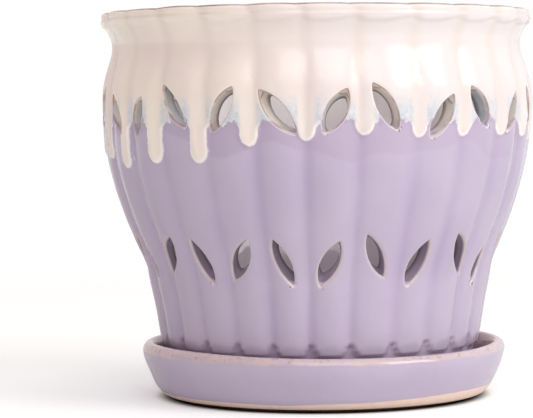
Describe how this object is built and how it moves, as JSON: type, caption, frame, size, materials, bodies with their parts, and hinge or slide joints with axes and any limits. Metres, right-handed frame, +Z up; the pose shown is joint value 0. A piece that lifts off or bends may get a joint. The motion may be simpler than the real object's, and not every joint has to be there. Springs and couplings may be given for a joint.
{
  "type": "orchid pot with saucer",
  "caption": "Fluted stoneware orchid pot with two rows of leaf-shaped slots, a flared wavy lip with cream drip glaze over lavender, and a loose matching saucer.",
  "frame": {"origin": "on the ground under the middle of the pot", "axes": "+Z up along the pot's axis, -Y towards the front"},
  "size_m": [0.1658, 0.1655, 0.1481],
  "materials": {
    "lavender_glaze": "gloss",
    "cream_glaze": "gloss",
    "saucer_glaze": "gloss"
  },
  "bodies": {
    "saucer": {"saucer": "saucer_glaze"},
    "pot": {"pot": "lavender_glaze", "cream_glaze": "cream_glaze"}
  },
  "joints": [
    {"name": "pot_lift", "type": "slide", "parent": "saucer", "child": "pot", "axis": [0, 0, 1], "range_m": [0, 0.1]}
  ]
}
